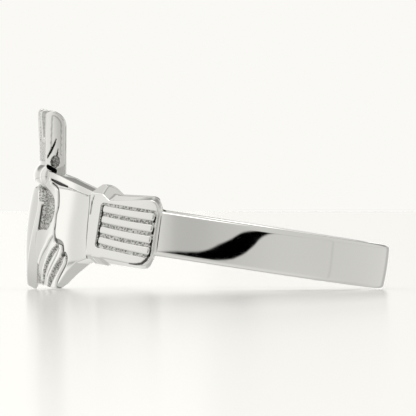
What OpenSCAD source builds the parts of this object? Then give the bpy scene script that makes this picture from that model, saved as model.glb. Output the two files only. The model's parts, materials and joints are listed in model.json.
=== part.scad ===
// Claddagh ring. Two hands hold a crowned heart, and all of it is cast in one piece with the band.
// It lies on its side, on the bottoms of the two hands and the back of the band.
// Millimetres, +Z up, +X from the heart to the back of the band. The origin is on the ground,
// under the middle of the ring.

/* [Finger hole] */
// Diameter of the finger hole
bore_d = 17.3; // [15:0.1:20]
// Length of the straight stretch of the finger hole, before it flares behind the head
bore_straight = 2.9; // [2.7:0.1:3.3]

/* [Band] */
// Width of the band along the finger
band_w = 2.5; // [2:0.1:2.7]
// Thickness of the band
band_t = 1.25; // [1:0.05:1.4]
// Radius of the band's outer edges
band_edge_r = 0.25; // [0.1:0.05:0.35]

/* [Cuffs] */
// Angle from the middle of the heart to the line between hand and cuff
wrist_angle = 45.7; // [43:0.1:48]
// Angle from the middle of the heart to the cuff's end on the band
cuff_end_angle = 71.9; // [68:0.1:76]
// Thickness of the cuff over the finger hole
cuff_t = 1.55; // [1.45:0.05:1.7]
// Width of the cuff's outer face along the finger
cuff_face_w = 3.5; // [3.2:0.05:3.8]
// Width of the cuff at its widest, near the finger
cuff_base_w = 4.1; // [3.9:0.05:4.4]
// Radius of the cuff's corners on the band
cuff_corner_r = 0.9; // [0.3:0.1:1.2]
// Angle that the plain collar takes beside the hand
collar_angle = 6.6; // [5:0.1:8]
// Width of the collar's outer face
collar_face_w = 3.75; // [3.5:0.05:4]
// Width of the collar at its widest, near the finger
collar_base_w = 4.5; // [4.2:0.05:4.8]
// Height of the collar over the cuff
collar_rise = 0.06; // [0.03:0.01:0.12]
// Number of grooves round each cuff, with the ribs between them
groove_count = 5; // [3:1:6]
// Distance from one groove to the next
groove_pitch = 0.62; // [0.45:0.01:0.65]
// Width of a groove
groove_w = 0.24; // [0.15:0.01:0.3]
// Depth of a groove
groove_depth = 0.2; // [0.1:0.01:0.3]
// Angle between the grooves' ends and the collar or the cuff's end
groove_margin = 1.3; // [0.8:0.1:3]

/* [Hands] */
// Thickness of the hand over the finger hole
hand_t = 1.5; // [1.4:0.05:1.7]
// Height of the thumb's tip over the middle of the band
hand_top = 2.63; // [2.4:0.01:2.8]
// Depth of the hand's lowest edge under the middle of the band
hand_bottom = 3.97; // [3.5:0.01:4.4]
// How much nearer to the finger the hand's lowest edge lies than its middle
hand_curl = 0.45; // [0.2:0.05:0.5]
// Width of the groove between two fingers
finger_gap = 0.16; // [0.1:0.01:0.25]
// Depth of the grooves between fingers and beside the thumb
finger_gap_depth = 0.22; // [0.1:0.01:0.3]

/* [Recess between heart and hands] */
// Thickness of the metal under the recess
floor_t = 1.25; // [1.1:0.05:1.35]

/* [Heart] */
// Width of the heart
heart_w = 5.3; // [4.8:0.1:5.8]
// Height of the heart's lobes over the middle of the band
heart_top = 1.6; // [1.4:0.05:1.8]
// Depth of the heart's tip under the middle of the band
heart_tip = 4; // [3.6:0.05:4.3]
// Radius of each lobe
lobe_r = 1.36; // [1.25:0.01:1.45]
// Radius of the heart's long sides
side_r = 7; // [6:0.5:12]
// Height of the dome's middle over the finger hole
heart_t = 1.7; // [1.6:0.05:1.9]
// Radius of the dome along the finger
dome_tall_r = 13; // [11:0.5:18]
// Radius of the dome round the finger
dome_wide_r = 7.5; // [6:0.5:10]

/* [Crown] */
// Height of the crown's middle point over the middle of the band
crown_top = 5.84; // [5.4:0.02:6.2]
// How far the outer points stay under the middle one
crown_drop = 0.35; // [0.1:0.05:0.5]
// Width of the crown at its foot
crown_foot_w = 5.9; // [5.4:0.1:6.2]
// Width of the crown at its top
crown_top_w = 7.15; // [6.6:0.05:7.4]
// Thickness of the crown at its foot
crown_foot_t = 1; // [0.8:0.05:1.2]
// Thickness of the crown at its top
crown_top_t = 0.8; // [0.6:0.05:1]
// Angle by which the crown leans away from the finger
crown_lean = 7.7; // [5:0.1:10]
// Radius of the crown's upper edge on the finger's side
crown_back_r = 0.4; // [0.2:0.05:0.5]
// Number of points on the crown
crown_points = 5; // [3:2:5]
// Width of the gap between two points, at their tips
point_gap_w = 1.2; // [0.8:0.02:1.3]
// Width of the same gap at its round bottom
point_gap_foot_w = 0.5; // [0.3:0.02:0.7]
// Depth of the gap between two points, under the crown's top
point_gap_depth = 1.7; // [1.2:0.05:1.9]
// Height of the round foot band under the crown, over the middle of the finger band
foot_band_z = 2.2; // [2.1:0.02:2.3]
// Radius of the foot band's round front
foot_band_r = 0.75; // [0.65:0.05:0.85]
// Height of the foot band's front over the finger hole
foot_band_t = 1.72; // [1.65:0.01:1.8]
// Angle from the middle to each end of the foot band
foot_band_angle = 17.3; // [15:0.1:18]

/* [Hidden] */
metal = [0.76, 0.76, 0.74];

bore_r = bore_d / 2;
band_r = bore_r + band_t;
cuff_r = bore_r + cuff_t;
collar_r = cuff_r + collar_rise;
hand_r = bore_r + hand_t;
floor_r = bore_r + floor_t;
heart_r = bore_r + heart_t;
foot_band_outer_r = bore_r + foot_band_t;

// The cuff is widest this far over the finger hole, and its inner edges are cut back by edge_back
cuff_wide_t = 0.65;
edge_back = 0.3;
// How far a cutting solid reaches past what it cuts, how far a turned stretch reaches past what trims
// it, in degrees, and how far the finger hole cuts into each solid
past = 1;
past_angle = 4;
seat = 0.25;
// Angle of one step along an arc, and number of steps in the hands' curl
step_angle = 10;
curl_steps = 8;

// Shares of the way from the heart's middle to the wrist: the middle of a hand, which its side walls
// point away from, the hand's lowest corner, and the end of the floor under the hands
middle_share = 0.7;
low_share = 0.65;
floor_share = 0.3;
hand_angle = middle_share * wrist_angle;

// How far the metal is cut back from the finger behind the hands' lowest edge
flare_bottom = 0.55;
// How far the floor stops short of the hands' lowest edge
floor_short = 0.06;
// How far the crown starts over the hands, and how far its foot stands behind the foot band's front
crown_clear = 0.1;
crown_set_back = 0.13;
crown_foot_z = hand_top + crown_clear;
crown_front_r = foot_band_outer_r - crown_set_back;
crown_height = crown_top - crown_foot_z;
crown_front_top_r = crown_front_r + crown_height * tan(crown_lean);
crown_back_foot_r = crown_front_r - crown_foot_t;
crown_back_top_r = crown_front_top_r - crown_top_t;
// Height of a solid that cuts through the whole ring
cut_h = 4 * (crown_top + hand_bottom);

// The ring rests on the hands' lowest corner and on the band's round lower edge.
// Each is a place in the upright plane through the middle of the ring.
rest_angle = low_share * wrist_angle;
rest_r = bore_r + flare_bottom;
hand_rest = [-rest_r * cos(rest_angle), -hand_bottom];
band_rest = [band_r - band_edge_r, band_edge_r - band_w / 2];
reach = band_rest - hand_rest;
tilt = atan2(reach[1], reach[0]) - asin(band_edge_r / norm(reach));
function leaned(p) = [p[0] * cos(tilt) + p[1] * sin(tilt), p[1] * cos(tilt) - p[0] * sin(tilt)];
dome_z = 0.05;
dome_middle = [dome_tall_r - heart_r, dome_z];
front_x = leaned(dome_middle)[0] - dome_tall_r;
back_x = leaned([band_rest[0], -band_rest[1]])[0] + band_edge_r;
lift = -leaned(hand_rest)[1];

$fn = 96;

// Points along an arc, from one angle to the other
function arc(x, y, r, from, to) =
    let (steps = ceil(abs(to - from) / step_angle))
    [for (i = [0 : steps]) let (a = from + (to - from) * i / steps) [x + r * cos(a), y + r * sin(a)]];
function mirrored(points) = [for (i = [len(points) - 1 : -1 : 0]) [-points[i][0], points[i][1]]];
function flipped(points) = [for (i = [len(points) - 1 : -1 : 0]) [points[i][0], -points[i][1]]];
function without_last(points) = [for (i = [0 : len(points) - 2]) points[i]];

// A flat outline seen from outside the ring, pushed straight out at this angle from the heart
module pushed_out(angle, from_r, to_r)
    rotate([0, 0, angle]) rotate([90, 0, -90]) translate([0, 0, from_r])
        linear_extrude(to_r - from_r) children();

// A stretch of a turned profile between two angles from the heart
module turned(from, to)
    rotate([0, 0, 180 + from]) rotate_extrude(angle = to - from) children();

module both_sides() {
    children();
    mirror([0, 1, 0]) children();
}

// Band

module band() {
    corner = arc(band_r - band_edge_r, band_w / 2 - band_edge_r, band_edge_r, 0, 90);
    inside = bore_r - seat;
    rotate_extrude()
        polygon(concat(corner, [[inside, band_w / 2], [inside, -band_w / 2]], flipped(corner)));
}

// Cuff with its collar and ribs

module cuff_profile(outer_r, face_w, base_w)
    polygon([
        [outer_r, -face_w / 2], [outer_r, face_w / 2],
        [bore_r + cuff_wide_t, base_w / 2], [bore_r - seat, base_w / 2 - edge_back],
        [bore_r - seat, edge_back - base_w / 2], [bore_r + cuff_wide_t, -base_w / 2],
    ]);

module cuff() {
    corner = arc(-cuff_corner_r, cuff_base_w / 2 - cuff_corner_r, cuff_corner_r, 0, 90);
    hand_end = -cuff_r;
    difference() {
        intersection() {
            turned(wrist_angle + collar_angle / 2, cuff_end_angle + past_angle)
                cuff_profile(cuff_r, cuff_face_w, cuff_base_w);
            pushed_out(cuff_end_angle, bore_r / 2, cuff_r + past)
                polygon(concat(
                    corner,
                    [[hand_end, cuff_base_w / 2 + past], [hand_end, -cuff_base_w / 2 - past]],
                    flipped(corner)
                ));
        }
        turned(wrist_angle + collar_angle + groove_margin, cuff_end_angle - groove_margin)
            for (i = [0 : groove_count - 1])
                translate([cuff_r - groove_depth, (i - (groove_count - 1) / 2) * groove_pitch - groove_w / 2])
                    square([groove_depth + past, groove_w]);
    }
    turned(wrist_angle, wrist_angle + collar_angle) cuff_profile(collar_r, collar_face_w, collar_base_w);
}

// Hands

// Outline of a hand from the thumb's tip round by the wrist to the fingers' tips. Each row holds
// the share of the way from the heart's middle to the wrist, and the share of hand_top or hand_bottom.
HAND = [
    [0.20, 1.00], [0.39, 1.00], [0.60, 0.905], [0.80, 0.78], [1.05, 0.64],
    [1.05, -0.48], [0.93, -0.59], [0.83, -0.74], [0.74, -0.91], [low_share, -1.00],
    [0.36, -1.00], [0.20, -0.96],
];
// The sunk window between heart, thumb and forefinger, in the same shares
WINDOW = [
    [0.10, 0.50], [0.34, 0.67], [0.49, 0.52], [0.58, 0.38], [0.62, 0.16], [0.61, -0.05],
    [0.56, -0.20], [0.48, -0.33], [0.36, -0.46], [0.24, -0.52], [0.10, -0.52],
];
// Lines between the fingers, from the knuckles to the tips, and the line under the thumb
FINGER_LINES = [
    [[0.60, -0.30], [0.40, -0.66], [0.31, -1.10]],
    [[0.675, -0.42], [0.51, -0.78], [0.46, -1.10]],
    [[0.77, -0.54], [0.64, -0.80], [0.56, -1.10]],
    [[0.48, 0.765], [0.725, 0.67], [1.02, 0.51]],
];

function on_hand(row) =
    [hand_r * sin(row[0] * wrist_angle - hand_angle), row[1] * (row[1] > 0 ? hand_top : hand_bottom)];
function outline(rows) = [for (i = [len(rows) - 1 : -1 : 0]) on_hand(rows[i])];

// How far out the hand's face lies, from its lowest edge to its top, less an inset
module hand_profile(inset)
    polygon(concat(
        [[bore_r - seat, hand_top + past], [bore_r - seat, -hand_bottom - past]],
        [for (i = [0 : curl_steps])
            let (down = 1 - i / curl_steps)
            [hand_r - inset - hand_curl * down * down, -hand_bottom * down]],
        [[hand_r - inset, hand_top + past]]
    ));

module line_between(p, q, width) {
    across = [p[1] - q[1], q[0] - p[0]] * width / 2 / norm(q - p);
    polygon([p - across, q - across, q + across, p + across]);
}

module hand() {
    difference() {
        intersection() {
            turned(0, wrist_angle + past_angle) hand_profile(0);
            pushed_out(hand_angle, bore_r - past, hand_r + past) polygon(outline(HAND));
        }
        difference() {
            pushed_out(hand_angle, bore_r, hand_r + past) polygon(outline(WINDOW));
            cylinder(r = floor_r, h = cut_h, center = true);
        }
        difference() {
            pushed_out(hand_angle, bore_r, hand_r + past)
                for (row = FINGER_LINES) {
                    p = [for (point = row) on_hand(point)];
                    line_between(p[0], p[1], finger_gap);
                    line_between(p[1], p[2], finger_gap);
                    translate(p[1]) circle(d = finger_gap);
                }
            rotate_extrude() hand_profile(finger_gap_depth);
        }
    }
}

// Floor between the hands, behind the heart

module floor_plate() {
    half = floor_r * sin(floor_share * wrist_angle);
    low_z = floor_short - hand_bottom;
    intersection() {
        rotate_extrude() hand_profile(hand_t - floor_t);
        pushed_out(0, bore_r - past, hand_r + past)
            translate([-half, low_z]) square([2 * half, hand_top - low_z]);
    }
}

// Heart

// The long side is an arc that touches the lobe and ends in the tip
function heart_outline() =
    let (
        lobe = [heart_w / 2 - lobe_r, heart_top - lobe_r],
        tip = [0, -heart_tip],
        span = norm(lobe - tip),
        inner = side_r - lobe_r,
        lean = atan2(lobe[1] - tip[1], lobe[0]),
        turn = acos((span * span + side_r * side_r - inner * inner) / (2 * span * side_r)),
        side = tip + side_r * [cos(lean + turn), sin(lean + turn)],
        touch = atan2(lobe[1] - side[1], lobe[0] - side[0]),
        from_tip = lean + turn - 180,
        to_cleft = 180 - acos(min(1, lobe[0] / lobe_r)),
        cleft = [0, lobe[1] + lobe_r * sin(to_cleft)],
        half = concat(
            without_last(arc(side[0], side[1], side_r, from_tip, touch)),
            without_last(arc(lobe[0], lobe[1], lobe_r, touch, to_cleft))
        )
    )
    concat(half, [cleft], without_last(mirrored(half)));

module heart() {
    intersection() {
        pushed_out(0, bore_r + band_t / 2, heart_r + past) polygon(heart_outline());
        translate([dome_wide_r - heart_r, 0, 0])
            rotate_extrude()
                intersection() {
                    translate([dome_wide_r - dome_tall_r, dome_middle[1]]) circle(r = dome_tall_r);
                    translate([0, -heart_tip - past])
                        square([dome_wide_r + past, heart_tip + heart_top + 2 * past]);
                }
    }
}

// Crown on its foot band

module crown_outline() {
    foot = crown_foot_w / 2;
    top = crown_top_w / 2;
    low_z = foot_band_z;
    point_w = (crown_top_w - (crown_points - 1) * point_gap_w) / crown_points;
    pitch = point_w + point_gap_w;
    bottom_z = crown_top - point_gap_depth + point_gap_foot_w / 2;
    difference() {
        polygon([
            [-foot, low_z], [foot, low_z], [top, crown_top - crown_drop],
            [point_w / 2, crown_top], [-point_w / 2, crown_top], [-top, crown_top - crown_drop],
        ]);
        for (i = [0 : crown_points - 2])
            translate([(i - (crown_points - 2) / 2) * pitch, bottom_z]) {
                circle(d = point_gap_foot_w);
                polygon([
                    [-point_gap_foot_w / 2, 0], [point_gap_foot_w / 2, 0],
                    [point_gap_w / 2, crown_top - bottom_z], [point_gap_w / 2, crown_top - bottom_z + past],
                    [-point_gap_w / 2, crown_top - bottom_z + past], [-point_gap_w / 2, crown_top - bottom_z],
                ]);
            }
    }
}

module crown() {
    low_z = foot_band_z;
    low_r = crown_front_r - (crown_foot_z - low_z) * tan(crown_lean);
    back = arc(crown_back_top_r + crown_back_r, crown_top - crown_back_r, crown_back_r, 180, 90);
    intersection() {
        rotate_extrude()
            polygon(concat(
                [[bore_r, low_z], [low_r, low_z], [crown_front_top_r, crown_top]],
                [for (i = [len(back) - 1 : -1 : 0]) back[i]],
                [[crown_back_foot_r, crown_foot_z]]
            ));
        pushed_out(0, bore_r - past, crown_front_top_r + past) crown_outline();
    }
}

module foot_band()
    turned(-foot_band_angle, foot_band_angle)
        intersection() {
            translate([foot_band_outer_r - foot_band_r, foot_band_z]) circle(r = foot_band_r);
            translate([floor_r - seat, foot_band_z - foot_band_r]) square(2 * foot_band_r);
        }

// What is cut away for the finger: the straight hole, and a flare above and below it

module finger_hole() {
    z = bore_straight / 2;
    cylinder(r = bore_r, h = cut_h, center = true);
    rotate_extrude()
        polygon([
            [0, z], [bore_r, z], [crown_back_foot_r, crown_foot_z],
            [crown_back_foot_r, crown_foot_z + past], [0, crown_foot_z + past],
        ]);
    rotate_extrude()
        polygon([
            [0, -z], [0, -hand_bottom - past],
            [rest_r + past * flare_bottom / (hand_bottom - z), -hand_bottom - past], [bore_r, -z],
        ]);
}

module ring() {
    color(metal)
        translate([-(front_x + back_x) / 2, 0, lift])
            rotate([0, tilt, 0])
                difference() {
                    union() {
                        band();
                        both_sides() {
                            cuff();
                            hand();
                        }
                        floor_plate();
                        heart();
                        foot_band();
                        crown();
                    }
                    finger_hole();
                }
}

ring();
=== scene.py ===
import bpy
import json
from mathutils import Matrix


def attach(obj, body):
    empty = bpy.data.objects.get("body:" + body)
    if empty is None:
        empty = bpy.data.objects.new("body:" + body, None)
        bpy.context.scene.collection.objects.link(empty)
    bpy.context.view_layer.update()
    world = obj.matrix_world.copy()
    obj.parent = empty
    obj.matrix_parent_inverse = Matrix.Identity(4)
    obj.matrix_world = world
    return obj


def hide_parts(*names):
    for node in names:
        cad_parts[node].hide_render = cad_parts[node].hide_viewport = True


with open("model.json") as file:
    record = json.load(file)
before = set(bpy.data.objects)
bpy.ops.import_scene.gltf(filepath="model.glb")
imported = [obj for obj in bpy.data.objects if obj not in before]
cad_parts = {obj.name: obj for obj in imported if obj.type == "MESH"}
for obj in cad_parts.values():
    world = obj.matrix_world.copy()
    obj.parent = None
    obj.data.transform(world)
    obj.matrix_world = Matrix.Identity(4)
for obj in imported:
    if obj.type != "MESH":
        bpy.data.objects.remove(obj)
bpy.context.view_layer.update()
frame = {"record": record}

import json
import math

import bpy
import numpy as np

# Finger hole
# The ring lies on its side, so the hole's axis leans. All pieces are drawn upright round that axis,
# in millimetres: x towards the back of the shank, and z along the finger. The wearer's near hand is
# at -y. One function lays the drawn points down as the ring rests.
hole = frame["record"]["mounts"][0]
BORE_R = hole["dims"]["r_mm"]
LEAN = math.atan2(hole["axis"][0], hole["axis"][2])
CENTRE = np.array(hole["pos_m"])
MM = 0.001
BORE_STRAIGHT = 1.45
FLARE_UP = 0.46
FLARE_DOWN = 0.218
FLARE_SOFT = 0.08
BORE_EDGE_R = 0.08


def finger_side(z):
    """Distance from the axis to the metal on the finger's side: straight, and flared above and below."""
    up = z - BORE_STRAIGHT
    down = -BORE_STRAIGHT - z
    soft_up = (up + np.sqrt(up * up + FLARE_SOFT ** 2)) / 2
    soft_down = (down + np.sqrt(down * down + FLARE_SOFT ** 2)) / 2
    return BORE_R + FLARE_UP * soft_up + FLARE_DOWN * soft_down


def laid_down(points):
    """Points drawn round the upright axis, in the place and slant where the ring rests, in metres."""
    turn = np.array([
        [math.cos(LEAN), 0, math.sin(LEAN)],
        [0, 1, 0],
        [-math.sin(LEAN), 0, math.cos(LEAN)],
    ])
    return points @ turn.T * MM + CENTRE


# Shank
# The plain band round the back of the finger, cast with the rest in sterling silver, filed to a faint
# crown across its width, plated with rhodium and polished to a mirror. It runs into a cuff at each end.
BAND_R = 9.9
BAND_W = 2.5
BAND_T = BAND_R - BORE_R
BAND_EDGE_R = 0.22
BAND_CROWN_R = 14.0
BAND_FROM = 71.0
SECTION_STEP = 0.05
POLISHED = "#E3E3E1"
BLASTED = "#CFCFCD"
# Painted shade: the dark grey at the bottom of the sandblasted pits
PIT_SHADE = "#7E7E7C"
# Painted shade: the near-black colour of cracks, slots and grooves
CRACK_SHADE = "#232221"
# Lengths of the polishing waves, the hairlines and the grit's pits, then the roughness of polished
# metal, from least to most, and of sandblasted metal
WAVE = 2.0
HAIRLINE = 0.25
PIT = 0.11
GLOSS = (0.02, 0.05)
DULL = 0.35
# Kinds and settings of nodes that come again and again
MATH = "ShaderNodeMath"
MAP_RANGE = "ShaderNodeMapRange"
TIMES = {"operation": "MULTIPLY"}


def linear(code):
    """An sRGB hex colour as linear red, green and blue, with alpha."""
    shares = [int(code[i:i + 2], 16) / 255 for i in (1, 3, 5)]
    return [c / 12.92 if c <= 0.04045 else ((c + 0.055) / 1.055) ** 2.4 for c in shares] + [1.0]


def add_node(tree, kind, settings=None, links=None):
    """A node with its settings, by attribute or by socket's name or number, and the links into it. A
    link comes from a socket, or from the first output of a node."""
    node = tree.nodes.new(kind)
    for key, value in (settings or {}).items():
        if isinstance(key, str) and key not in node.inputs:
            setattr(node, key, value)
        else:
            node.inputs[key].default_value = value
    for key, source in (links or {}).items():
        socket = source.outputs[0] if isinstance(source, bpy.types.Node) else source
        tree.links.new(socket, node.inputs[key])
    return node


# Rhodium-plated silver: a bright grey mirror with the faint waves that hand polishing leaves. Where the
# attribute frost is 1 the metal is sandblasted: dull and speckled, with painted shade in its pits. Where
# the second attribute is 1, painted shade turns cracks, slots and grooves near black.
silver = bpy.data.materials.new("rhodium_plated_silver")
silver.use_nodes = True
tree = silver.node_tree
tree.nodes.clear()
place = add_node(tree, "ShaderNodeTexCoord").outputs["Object"]
frost = add_node(tree, "ShaderNodeAttribute", {"attribute_name": "frost"}).outputs["Fac"]
# The second attribute is the share of painted shade in cracks, slots and grooves
painted_shade = add_node(tree, "ShaderNodeAttribute", {"attribute_name": "painted_shade"}).outputs["Fac"]
waves = add_node(tree, "ShaderNodeTexNoise", {"Scale": 1 / (WAVE * MM), "Detail": 1.0},
                 {"Vector": place})
hairlines = add_node(tree, "ShaderNodeTexNoise", {"Scale": 1 / (HAIRLINE * MM), "Detail": 4.0},
                     {"Vector": place})
gloss = add_node(tree, MAP_RANGE, {
    "From Min": 0.35, "From Max": 0.65, "To Min": GLOSS[0], "To Max": GLOSS[1]}, {"Value": hairlines})
grit = add_node(tree, "ShaderNodeTexVoronoi", {"Scale": 1 / (PIT * MM)}, {"Vector": place})
pits = add_node(tree, MATH, TIMES, {0: grit, 1: frost})
roughness = add_node(tree, "ShaderNodeMix", {3: DULL}, {0: frost, 2: gloss})
# Painted shade: the pits are darker at the bottom
ridge = add_node(tree, MAP_RANGE, {"From Min": 0.3, "From Max": 0.62}, {"Value": grit})
speckled = add_node(tree, "ShaderNodeMix", {
    "data_type": "RGBA", 6: linear(PIT_SHADE), 7: linear(BLASTED)}, {0: ridge})
unshaded = add_node(tree, "ShaderNodeMix", {"data_type": "RGBA", 6: linear(POLISHED)},
                 {0: frost, 7: speckled.outputs[2]})
# Painted shade darkens the colour towards near black where the second attribute is 1
colour = add_node(tree, "ShaderNodeMix", {"data_type": "RGBA", 7: linear(CRACK_SHADE)},
                  {0: painted_shade, 6: unshaded.outputs[2]})
wavy = add_node(tree, "ShaderNodeBump", {"Strength": 0.06, "Distance": 0.2 * MM}, {"Height": waves})
pitted = add_node(tree, "ShaderNodeBump", {"Strength": 0.5, "Distance": 0.03 * MM},
                  {"Height": pits, "Normal": wavy})
shader = add_node(tree, "ShaderNodeBsdfPrincipled", {"Metallic": 1.0}, {
    "Base Color": colour.outputs[2], "Roughness": roughness, "Normal": pitted})
add_node(tree, "ShaderNodeOutputMaterial", {}, {0: shader})


def finish_piece(name, mesh):
    """A finished piece of the ring: it rides on the ring's one body and stands for its cast solid."""
    piece = bpy.data.objects.new(name, mesh)
    bpy.context.scene.collection.objects.link(piece)
    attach(piece, "root")
    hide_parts("ring")


def grown(name, tree, sizes):
    """The mesh that a tree of Geometry Nodes grows from these named sizes."""
    holder = bpy.data.objects.new(name, bpy.data.meshes.new(name))
    bpy.context.scene.collection.objects.link(holder)
    modifier = holder.modifiers.new(name, "NODES")
    modifier.node_group = tree
    for item in tree.interface.items_tree:
        if item.in_out == "INPUT":
            modifier[item.identifier] = sizes[item.name]
    seen = holder.evaluated_get(bpy.context.evaluated_depsgraph_get())
    mesh = bpy.data.meshes.new_from_object(seen)
    bpy.data.objects.remove(holder)
    mesh.name = name
    return mesh


def new_tree(name, sizes):
    """An empty tree of Geometry Nodes with an input for each of the named sizes, and those inputs."""
    kinds = {"Count": "NodeSocketInt", "Place": "NodeSocketVector", "Turn": "NodeSocketRotation"}
    tree = bpy.data.node_groups.new(name, "GeometryNodeTree")
    tree.interface.new_socket("Geometry", in_out="OUTPUT", socket_type="NodeSocketGeometry")
    for label in sizes:
        kind = kinds.get(label, "NodeSocketFloat")
        tree.interface.new_socket(label, in_out="INPUT", socket_type=kind)
    return tree, tree.nodes.new("NodeGroupInput").outputs


def end_tree(tree, geometry, given):
    """The tree's last steps: lay the piece down, make it real and give it its metal."""
    laid = add_node(tree, "GeometryNodeTransform", {}, {
        "Geometry": geometry, "Translation": given["Place"], "Rotation": given["Turn"]})
    smooth = add_node(tree, "GeometryNodeSetShadeSmooth", {}, {"Geometry": laid})
    real = add_node(tree, "GeometryNodeRealizeInstances", {}, {"Geometry": smooth})
    metal = add_node(tree, "GeometryNodeSetMaterial", {"Material": silver}, {"Geometry": real})
    add_node(tree, "NodeGroupOutput", {}, {0: metal})


LAID = {"Place": CENTRE.tolist(), "Turn": (0.0, LEAN, 0.0)}
SHANK_SIZES = {
    "Radius": BAND_R * MM, "Width": BAND_W * MM, "Thickness": BAND_T * MM,
    "Edge Radius": BAND_EDGE_R * MM, "Crown Radius": BAND_CROWN_R * MM,
    "From": math.radians(180 + BAND_FROM), "Sweep": math.radians(360 - 2 * BAND_FROM), **LAID}
tree, given = new_tree("shank", SHANK_SIZES)
half_t = add_node(tree, MATH, {"operation": "MULTIPLY", 1: 0.5}, {0: given["Thickness"]})
middle_r = add_node(tree, MATH, {"operation": "SUBTRACT"}, {0: given["Radius"], 1: half_t})
path = add_node(tree, "GeometryNodeCurveArc", {"mode": "RADIUS", "Resolution": 360}, {
    "Radius": middle_r, "Start Angle": given["From"], "Sweep Angle": given["Sweep"]})
upright = add_node(tree, "GeometryNodeSetCurveNormal", {"mode": "Z_UP"}, {"Curve": path})
section = add_node(tree, "GeometryNodeCurvePrimitiveQuadrilateral", {}, {
    "Width": given["Thickness"], "Height": given["Width"]})
eased = add_node(tree, "GeometryNodeFilletCurve", {"mode": "POLY", "Count": 8}, {
    "Curve": section, "Radius": given["Edge Radius"]})
spaced = add_node(tree, "GeometryNodeResampleCurve", {"mode": "LENGTH", "Length": SECTION_STEP * MM},
                  {"Curve": eased})
spot = add_node(tree, "ShaderNodeSeparateXYZ", {}, {0: add_node(tree, "GeometryNodeInputPosition")})
# The crown lowers the outer face by z squared over twice its radius, and the inner face not at all
outward = add_node(tree, MATH, {"operation": "MAXIMUM", 1: 0.0}, {0: spot.outputs["X"]})
share = add_node(tree, MATH, {"operation": "DIVIDE"}, {0: outward, 1: half_t})
squared = add_node(tree, MATH, TIMES, {0: spot.outputs["Y"], 1: spot.outputs["Y"]})
drop = add_node(tree, MATH, {"operation": "DIVIDE"}, {0: squared, 1: given["Crown Radius"]})
lowered = add_node(tree, MATH, TIMES, {0: share, 1: drop})
shift = add_node(tree, MATH, {"operation": "MULTIPLY", 1: -0.5}, {0: lowered})
crowned = add_node(tree, "GeometryNodeSetPosition", {}, {
    "Geometry": spaced, "Offset": add_node(tree, "ShaderNodeCombineXYZ", {}, {0: shift})})
swept = add_node(tree, "GeometryNodeCurveToMesh", {"Fill Caps": True}, {
    "Curve": upright, "Profile Curve": crowned})
end_tree(tree, swept, given)
finish_piece("shank", grown("shank", tree, SHANK_SIZES))

# Cuffs
# A sleeve end at each wrist, cast in one with the hand: a collar that stands out above and below, and a
# plate whose sides slope to a wider foot, with a fillet into the band. A sunk, sandblasted field in the
# plate carries the ribs, and the cracks at their ends are painted dark as shade.
WRIST = 46.3
WRIST_LEAN = 0.1
CUFF_END = 70.3
CUFF_END_LEAN = 0.25
CUFF_R = 10.2
CUFF_CORNER_R = 0.62
BAND_FILLET_R = 0.3
STUB = 1.2
UNDER_SKIN = 0.012
# Half widths above and below the middle: the face at the collar and at the shank, then the foot at both
CUFF_TOP = (1.34, 1.82, 1.78, 2.01)
CUFF_LOW = (1.8, 1.93, 2.13, 2.13)
COLLAR_TOP = (1.66, 1.66, 2.22, 2.22)
COLLAR_LOW = (1.8, 1.8, 2.25, 2.25)
COLLAR_END = 53.4
# The collar's upper corner is cut off from these heights upwards, at the face and at the foot
COLLAR_SQUARE = (1.36, 1.6)
COLLAR_SLOPE = 1.4
COLLAR_FILLET_R = 0.15
SLEEVE_UNDER = 0.5
FACE_EDGE_R = 0.1
FOOT_R = 9.3
FOOT_BACK = 0.3
FOOT_EDGE_R = 0.12
FIELD = (8.88, 12.4)
FIELD_TOP = (1.2, 1.21)
FIELD_LOW = (1.27, 1.45)
FIELD_CORNER_R = 0.15
FIELD_DEPTH = 0.1
FIELD_EDGE_R = 0.04
# Width and upper end of the cracks at the field's ends, painted black as shade. At the shank they come
# in rows: the lowest row's height, the spacing and the share of it that is painted dark
CRACK_W = 0.2
CRACK_TOP = 1.15
CRACK_ROWS = (-1.37, 0.637, 0.62)
# A piece that runs under its neighbour keeps this far behind the neighbour's skin in the finger hole
BEHIND = 0.02
GRIT = 0.13
GRIT_DEPTH = 0.03
# Width over which a crease's painted shade fades out
SHADE_FADE = 0.035
FROST_FADE = 0.08
# Cracks in the face: arc length, height and half width, then depth, how far their sides round over,
# and how much painted shade and how much sandblasting their floor carries
WRIST_LINE = [(8.27, 1.5, 0.015), (8.19, 1.2, 0.02), (8.2, 0.81, 0.02), (8.19, 0.47, 0.015)]
CORNER_CRACK = [(11.2, -1.9, 0.01), (11.61, -1.88, 0.03), (11.96, -1.79, 0.045), (12.2, -1.55, 0.05),
                (12.34, -1.0, 0.045), (12.33, -0.8, 0.02)]
CUFF_CREASES = [(WRIST_LINE, 0.05, 0.04, 0.5, 0.0), (CORNER_CRACK, 0.07, 0.05, 0.9, 0.0)]
# The mesh of a cast piece: its grid's step in mm, then in shares of it how near to a grid point the
# surface may cross and how far its points may be moved. FILLED is the value of a corner that was filled.
CAST_STEP = 0.05
NEAREST = 0.04
FARTHEST = 0.45
FILLED = -1e-4


def arc_mm(degrees):
    """Length along the round face that stands for this angle from the heart, at 10 mm from the axis."""
    return math.radians(degrees) * 10


def both(a, b, radius):
    """What two solids share, with its edge rounded to this radius. Values are mm, below 0 inside."""
    corner = np.hypot(np.maximum(a + radius, 0), np.maximum(b + radius, 0))
    return np.minimum(np.maximum(a, b), -radius) + corner


def either(a, b, radius):
    """Two solids as one, with a fillet of this radius where they meet."""
    corner = np.hypot(np.maximum(radius - a, 0), np.maximum(radius - b, 0))
    return np.maximum(np.minimum(a, b), radius) - corner


def ramp(value, width):
    """A share that rises from 0 at the value 0 to 1 at this width."""
    return np.clip(value / width, 0, 1)


def between(pair, share):
    """The value that lies this share of the way from the pair's first to its second."""
    return pair[0] + (pair[1] - pair[0]) * share


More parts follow.
